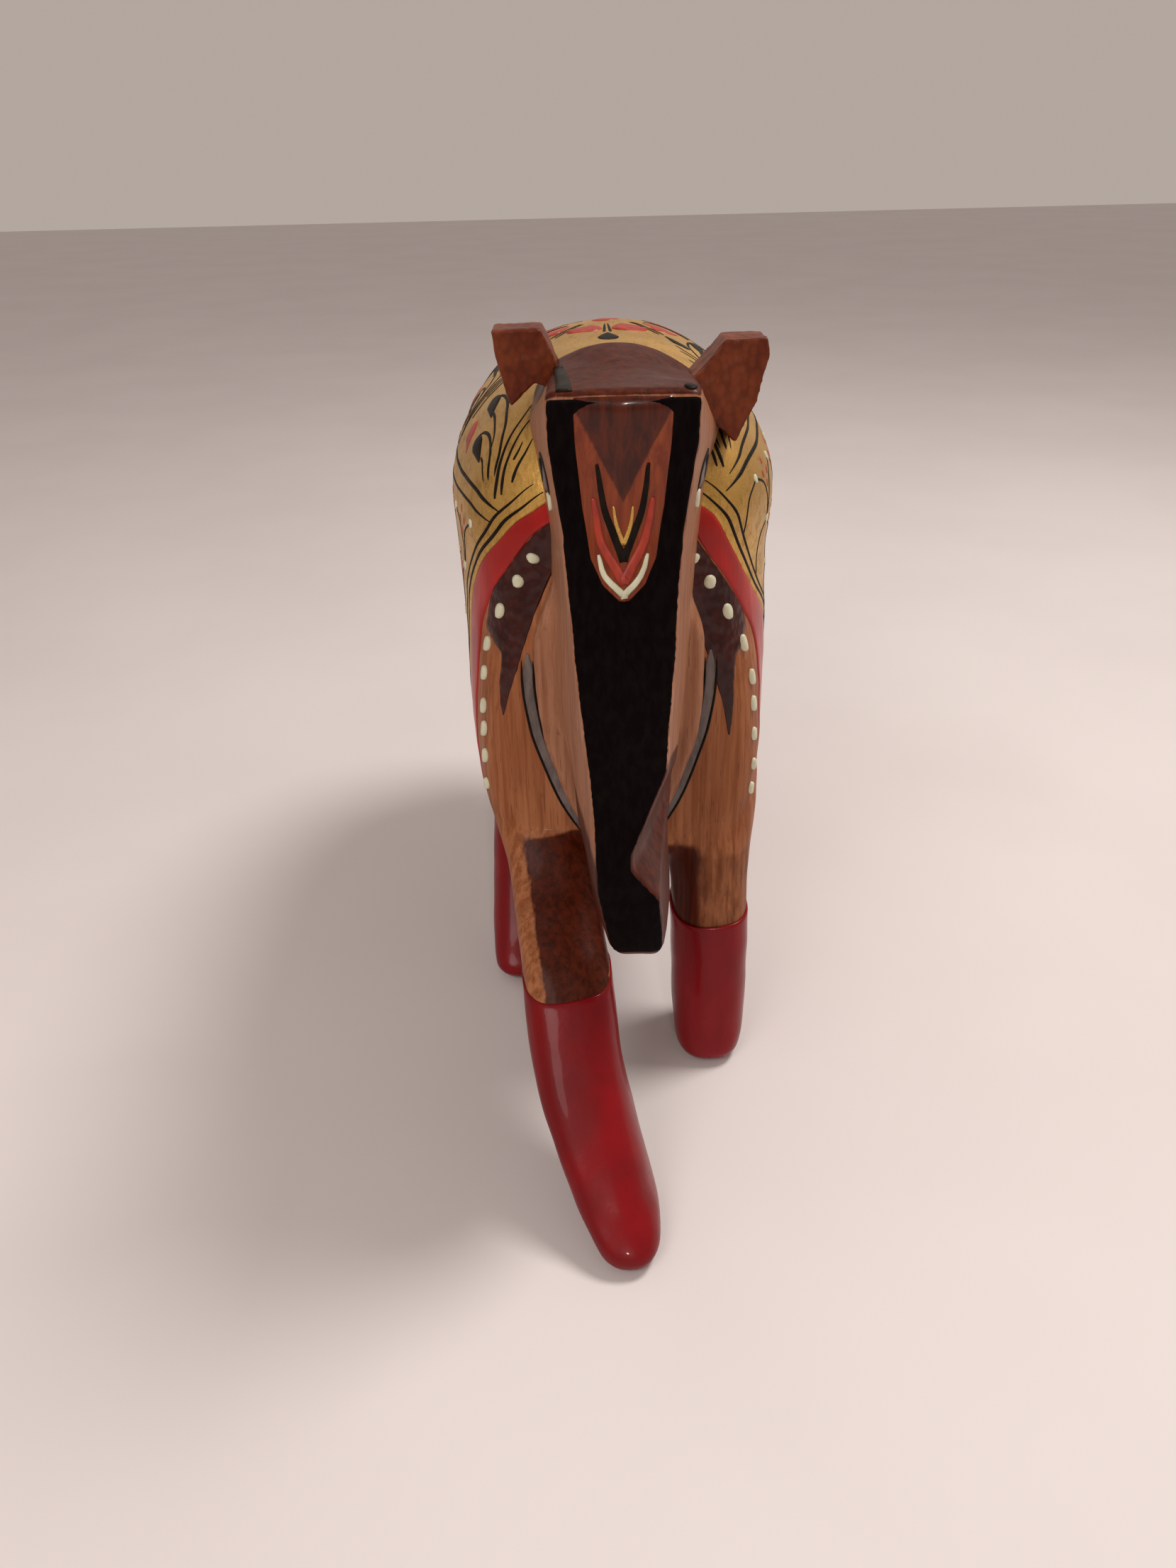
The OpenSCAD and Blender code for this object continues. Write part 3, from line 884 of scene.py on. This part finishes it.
def frame_lines(ink, side):
    """The pair of black lines just inside the saddle's edge, and the pair that parts its fields."""
    for inset, width in ((2.1, 0.6), (4.6, 0.55)):
        low = SADDLE_LOW + inset
        down = [(line_at(SADDLE_LINE, side, s) + inset, s)
                for s in (18, 10, 4, -1, -8, -15, -22, -32, -45, low + 4)]
        back = [(43 + inset, low), (60, low), (SADDLE_REAR - 22, low), (SADDLE_REAR - inset - 4, low)]
        up = [(SADDLE_REAR - inset, s) for s in (low + 4, -40, -20, 0, 20, 36, RIDGE)]
        ink.line(down + back + up, width)
    for s, start, width in zip(FIELD_LINES[side], FIELD_START[side], (0.7, 0.55)):
        ink.line([(start, s - 1.4), (start + 5, s - 0.4), (start + 11, s + 0.5), (start + 26, s),
                  (80, s + 0.4), (SADDLE_REAR - 5, s)], width)


def feathers(ink, spot, side, at, way):
    """One fan of the upper field: flicks that spring from a point, and two drops on stems."""
    base = max(FIELD_LINES[side])
    drawn_at, drawn_base = 20, 7.2
    top = RIDGE - 2
    scale = (top - base) / (top - drawn_base)

    def put(points):
        return [(at + way * (u - drawn_at), base + (s - drawn_base) * scale) for u, s in points]

    ink.flick(put([(21.3, 8.4), (23.2, 13.3), (26.1, 18.8), (29.5, 24.6), (33, 29)]), 0.75)
    ink.flick(put([(20.2, 10.2), (22.3, 15), (24.3, 19.5), (26.6, 24), (29, 28)]), 0.65)
    ink.flick(put([(19.4, 14.5), (20.6, 18.6), (21.8, 22.5), (23.6, 26)]), 0.6)
    ink.flick(put([(22.4, 19), (23.2, 21.4), (24.4, 23.6)]), 0.5)
    ink.line(put([(49.7, 21.6), (45.5, 23.6), (39.9, 23.9), (32.6, 22), (27.1, 18), (24, 13)]), 0.6)
    ink.flick(put([(41.9, 20.4), (37.7, 20.2), (32.4, 18.6), (28.5, 15)]), 0.55)
    ink.drop(put([(50.5, 21), (46, 20.8), (40, 19.6)]), 3.0)
    ink.line(put([(39, 15.4), (37.3, 17), (33.6, 17.6), (29, 15.7), (25, 11.2)]), 0.6)
    ink.flick(put([(31.7, 13.4), (29.4, 12.8), (26, 10)]), 0.5)
    ink.drop(put([(39.6, 14.6), (36, 14.1), (31, 12.4)]), 2.8)
    spot.drop(put([(48.5, 15.4), (45.5, 13.4), (41, 10.4)]), 3.2)


def scales(ink, spot, cream, side):
    """The lower field: curved meshes with a cream dot at each crossing and red spots between."""
    top = min(FIELD_LINES[side])
    pitch_u = 13.0
    pitch_s = 11.0
    rows = int((top - SADDLE_LOW - 8) / pitch_s)
    for row in range(rows + 1):
        s = top - 4 - row * pitch_s
        start = 28.5 + (pitch_u / 2 if row % 2 else 0)
        edge = float(line_at(SADDLE_LINE, side, s)) + 6.5
        cols = int((SADDLE_REAR - 8 - start) / pitch_u) + 1
        for col in range(cols):
            u = start + col * pitch_u
            if u < edge:
                continue
            cream.oval((u, s), 2.0, 1.5)
            for x, y, tilt in ((6.3, 1.4, 70), (4.6, -1.0, 110), (8.2, -1.2, 60), (6.4, -3.4, 90)):
                if u + x < SADDLE_REAR - 6:
                    spot.oval((u + x, s + y), 1.8, 1.15, tilt)
            if row < rows:
                for way in (-1, 1):
                    end = (u + way * pitch_u / 2, s - pitch_s)
                    if edge < end[0] < SADDLE_REAR - 6:
                        ink.line([(u, s), (u + way * 4.6, s - 3.4), end], 0.42)


def rosette(ink, spot):
    """The flower in the middle of the back, drawn round a point on its ridge."""
    centre = np.array([92.0, RIDGE])
    petals = 10

    def ray(turn, *reaches):
        direction = np.array([math.cos(turn), math.sin(turn)])
        return [centre + direction * reach for reach in reaches]

    for k in range(petals):
        turn = 2 * math.pi * (k + 0.5) / petals
        spot.drop(ray(turn, 18.5, 14, 9.5), 6.4)
        ink.flick(ray(turn + 0.28, 19.5, 14, 8.5), 0.6)
        ink.flick(ray(turn - 0.28, 19.5, 14, 8.5), 0.6)
        side_turn = 2 * math.pi * k / petals
        if abs(math.sin(side_turn)) < 0.99:
            ink.drop(ray(side_turn, 28.5, 25, 20.5), 3.6)
    spot.oval(centre, 6, 6)


def paint_saddle(body, materials):
    for side, name in ((1, "left"), (-1, "right")):
        ink = Brush(body, on_side(side))
        spot = Brush(body, on_side(side), 0.12)
        cream = Brush(body, on_side(side), 0.3)
        frame_lines(ink, side)
        for at, way in ((20, 1), (54, 1), (88, 1)):
            feathers(ink, spot, side, at, way)
        scales(ink, spot, cream, side)
        if side == 1:
            rosette(ink, spot)
        add(name + "_saddle_lines", ink.shape(), materials["line"])
        add(name + "_saddle_spots", spot.shape(), materials["spot"])
        add(name + "_saddle_beads", cream.shape(), materials["dot"])


# Places u and s of the raised dots on each flank
DOTS = {
    -1: ((11.7, -7.3), (14.1, -14), (17.2, -20.4), (19.8, -26.4), (19.6, -32), (18.8, -38.5),
         (17.9, -43.1), (16.9, -48.4), (17.5, -53.6)),
    1: ((9.9, -9.4), (11.9, -16.5), (14.4, -22.8), (17.1, -28.4), (18.6, -34.3), (18.3, -39.4),
        (18.2, -45), (18.2, -50.8), (18.4, -56)),
}


def dots_shape(body, side, seed):
    """The row of raised cream dots before the red band, smaller towards the belly."""
    brush = Brush(body, on_side(side), 0.62)
    for k, (u, s) in enumerate(DOTS[side]):
        wobble = noise.noise(Vector((k * 2.7, seed, 0.5)))
        size = 1.0 - 0.035 * k + 0.12 * wobble
        brush.oval((u + 0.3 * wobble, s + 0.4 * wobble), 3.3 * size, 2.5 * size, 96)
    return brush.shape()


def band_shape(body, offset, width, height, top):
    """A line along the V where the throat meets the chest, offset from the throat's edge."""
    z, half = zip(*THROAT_ROWS[:7])
    levels = np.linspace(58, 99, 60)
    levels = levels[levels <= top]
    wide = smooth(z, half, levels) + offset
    steps = np.arange(len(levels))
    ends = np.minimum(1, np.minimum(steps, steps[::-1]) / 6 + 0.2)
    parts = []
    for side in (1, -1):
        start = np.stack([side * wide, np.full(len(levels), -60.0), levels], -1)
        parts.append(stroke(body, body.shoot(start, (0, 1, 0)), width * ends, height))
    return merge(parts)


def face_grid(heights, left, right, cols):
    """Points on the flat front of the head and trunk, between two edges. They are given as shares of its
    half width, one for all the heights or one for each."""
    heights = np.asarray(heights, float)
    share = np.linspace(0, 1, cols)
    half = head_read(heights, 3)[:, None]
    a = np.broadcast_to(left, heights.shape)[:, None]
    b = np.broadcast_to(right, heights.shape)[:, None]
    y = np.broadcast_to(head_read(heights, 1)[:, None], (len(heights), cols))
    z = np.broadcast_to(heights[:, None], y.shape)
    return np.stack([(a + (b - a) * share) * half + middle_x(y, z), y, z], -1)


TRUNK_TIP = 53.5
PANEL_TIP = 116.0
PANEL_TOP = 147.2
PANEL_SHARE = 0.62
EDGE = 0.98


def trunk_coat_shape(head):
    """The black front, which stops at the edge of the notch."""
    heights = np.linspace(TRUNK_TIP, PANEL_TOP - 0.2, 200)
    front = head_read(heights, 1)
    cut = (notch_x(front, heights) - middle_x(front, heights) - 0.1) / head_read(heights, 3)
    left_edge = np.where(heights < NOTCH_TOP, np.clip(cut, 0, EDGE), EDGE)
    return coat(head, face_grid(heights, -EDGE, left_edge, 30), 0.16)


def face_place(path):
    """Chart of the face: share of the half width, and height. The places are a little in front of it."""
    ahead = 2.5
    y = head_read(path[:, 1], 1) - ahead
    return np.stack([path[:, 0] * head_read(path[:, 1], 3), y, path[:, 1]], -1)


def panel_shape(head):
    """The lacquered wedge on the forehead, with a low ridge down its middle."""
    heights = np.linspace(PANEL_TIP + 0.6, PANEL_TOP, 60)
    half = np.interp(heights, (PANEL_TIP, PANEL_TIP + 3, PANEL_TIP + 7, PANEL_TIP + 15, PANEL_TOP),
                     (0.02, 0.36, 0.53, 0.60, PANEL_SHARE))
    cols = 25
    place, out = head.snap(face_grid(heights, -half, half, cols))
    ridge = 0.25 + 0.75 * (1 - np.abs(np.linspace(-1, 1, cols)))
    fade = np.clip((PANEL_TOP + 0.6 - heights) / 4, 0.2, 1)
    return sheet(place + out * (np.outer(fade, ridge) * 0.9)[..., None], place - out * ROOT)


def paint_face(panel, materials):
    """Nested V stripes near the tip of the forehead's wedge."""
    stripes = {"dot": [], "spot": [], "line": [], "gold": []}
    for side in (-1, 1):
        for kind, top, bottom, spread, width in (
                ("dot", 124, 117.6, 0.42, 0.9), ("spot", 132, 119.8, 0.46, 1.3),
                ("line", 137, 123, 0.36, 1.0), ("gold", 131, 125.5, 0.16, 0.6)):
            middle = (top + bottom) / 2
            path = [(side * spread, top), (side * spread * 0.8, middle), (side * 0.02, bottom)]
            brush = Brush(panel, face_place, 0.1)
            brush.draw(path, width, lambda t: 0.35 + 0.65 * np.sqrt(t))
            stripes[kind].append(brush.shape())
    names = {"dot": ("forehead_cream", "cream_paint"), "spot": ("forehead_red", "red_paint"),
             "line": ("forehead_black", "black_paint"), "gold": ("forehead_gold", "gold_paint")}
    for kind, shapes in stripes.items():
        add(names[kind][0], merge(shapes), materials[kind])


def paint_head_top(head, materials):
    """A line and a spot on top of the head."""
    def on_top(path):
        above = np.stack([path[:, 0], path[:, 1], np.full(len(path), 160.0)], -1)
        return head.shoot(above, (0, 0, -1))

    ink = Brush(head, on_top, 0.12)
    ink.draw([(-8.3, -62.4), (-8.6, -52), (-9.2, -40), (-9.6, -30)], 1.9, lambda t: 1 - 0.3 * t)
    ink.oval((9.6, -61.2), 2.6, 2.0)
    add("head_lines", ink.shape(), materials["line"])


def add_eye(head, side, materials, name):
    """A painted eye on the side of the head: outline, white, pupil and a light dot."""
    centre_y, centre_z = -45.0, 132.0

    def on_cheek(path):
        beside = np.stack([np.full(len(path), side * 40.0), centre_y + path[:, 0], centre_z + path[:, 1]], -1)
        return head.shoot(beside, (-side, 0, 0))

    # Part, paint, place, length, width, angle, height
    layers = (("outline", "line", (0, 0), 10.5, 6.4, 8, 0.10),
              ("white", "grey", (0.2, -0.2), 8.2, 4.4, 8, 0.22),
              ("pupil", "line", (0.8, 0.5), 3.8, 3.6, 90, 0.34),
              ("light", "dot", (-3.6, -3.4), 2.9, 2.5, 90, 0.40))
    for part, paint, place, length, width, angle, height in layers:
        brush = Brush(head, on_cheek, height)
        brush.oval(place, length, width, angle)
        add(name + "_" + part, brush.shape(), materials[paint],
            (name,) if part == "outline" else ())


# ---- Putting it together ----

def body_stain_and_shade(points):
    """Where the body's wood is darkened: the rump is stained dark, the front legs below the chest are a
    darker wood tone with painted shade from the chest and head, and the inner sides of the legs and the belly
    between them carry painted shade."""
    x, y, z = points.T
    rump = ramp(y, 66, 6) * ramp(z, 60, 12)
    outer = np.interp(z, (36, 56), (-15.5, -20))
    # Right front leg below the chest: a darker wood tone with painted shade from the chest and head over it.
    right_leg = ramp(z - 0.12 * (x + 25), 57.5, -1.2) * ramp(x, outer, 1) * (x < -3) * (y < 0)
    # Left front leg and its facet below the chest: a darker wood tone with some painted shade under the
    # chest.
    left_leg = ramp(z, 55, -4) * (x > 5) * (y < 0)
    facet = ramp(z, 56, -3) * ramp(x, 16.5, -1.5) * (x > 5) * (y < 0)
    # Painted shade on the inner sides of the legs and on the belly between them.
    inner = ramp(z, 62, -3) * ramp(np.abs(x), 14.5, -1.5) * (y > -30)
    return np.clip(rump * 0.9 + right_leg * 0.95 + inner * 0.8 + left_leg * 0.45 + facet * 0.55, 0, 1)


def head_stain_and_shade(points, faces):
    """Dark on top of the head and at the trunk's tip; painted shade inside the notch and, at half strength,
    low on the head's right side.
    """
    x, y, z = points.T
    out = normals_of(points, faces)
    top = ramp(out[:, 2], 0.35, 0.2) * (z > 138)
    # Painted shade inside the gouged notch.
    cut = ramp(x, notch_x(y, z) - 0.9, 0.4) * ramp(z, 98, -8) * ramp(y, -46, -5)
    tip = ramp(z, 79, -7) * ramp(y, -43, -3)
    # Painted shade, at half strength, low on the head's right side, which faces away from the key lamp.
    side = 0.5 * ramp(z, 96, -25) * (x < 0) * (y < -44)
    return np.clip(top + cut + tip + side, 0, 1)


def make_figure():
    materials = make_materials()
    body_points, body_faces = body_shape()
    body = Surface(body_points, body_faces)
    add("body", (body_points, body_faces), materials["wood"],
        ("torso", "front_right_leg", "front_left_leg", "rear_right_leg", "rear_left_leg"),
        body_stain_and_shade(body_points))
    for k, leg in enumerate(LEG_ROWS):
        add(leg + "_sock", foot_shape(leg, 3 + 2 * k), materials["red"], (leg + "_foot",))

    head_points, head_faces = head_shape()
    head = Surface(head_points, head_faces)
    add("head", (head_points, head_faces), materials["head"], ("head_and_trunk",),
        head_stain_and_shade(head_points, head_faces))
    add("right_ear_carving", ear_shape(RIGHT_EAR, 11), materials["ear"], ("right_ear",))
    add("left_ear_carving", ear_shape(LEFT_EAR, 13), materials["ear"], ("left_ear",))
    add("tail_carving", tail_shape(), materials["ear"], ("tail",))

    gold, border = saddle_shapes(body)
    add("saddle_gold", gold, materials["gold"], ("saddle_coat",))
    add("saddle_red", border, materials["border"], ("saddle_border",))
    for side, name in ((1, "left"), (-1, "right")):
        add(name + "_shoulder", shoulder_shape(body, side), materials["maroon"])
        add(name + "_cream_dots", dots_shape(body, side, side * 3.1), materials["dot"],
            (name + "_dots",))
        add_eye(head, side, materials, name + "_eye")
    paint_saddle(body, materials)

    add("neck_grey", band_shape(body, 1.3, 2.2, 0.12, 97), materials["grey"], ("neck_band",))
    add("neck_outline", band_shape(body, 2.5, 0.5, 0.2, 96), materials["line"])
    add("neck_inner_line", band_shape(body, 0.35, 0.45, 0.2, 96), materials["line"])
    add("trunk_black", trunk_coat_shape(head), materials["black"], ("trunk_coat",))
    panel_points, panel_faces = panel_shape(head)
    add("forehead", (panel_points, panel_faces), materials["panel"], ("forehead_panel",),
        ramp(panel_points[:, 2] - 2.0 * np.abs(panel_points[:, 0]), 131, 1.5))
    paint_face(Surface(panel_points, panel_faces), materials)
    paint_head_top(head, materials)


def make_floor():
    reach = 3.0
    mesh = bpy.data.meshes.new("floor")
    mesh.from_pydata([(-reach, -reach, 0), (reach, -reach, 0), (reach, reach, 0), (-reach, reach, 0)], [],
                     [(0, 1, 2, 3)])
    mesh.materials.append(floor_material())
    floor = bpy.data.objects.new("floor", mesh)
    bpy.context.scene.collection.objects.link(floor)


make_camera()
make_studio()
make_floor()
make_figure()
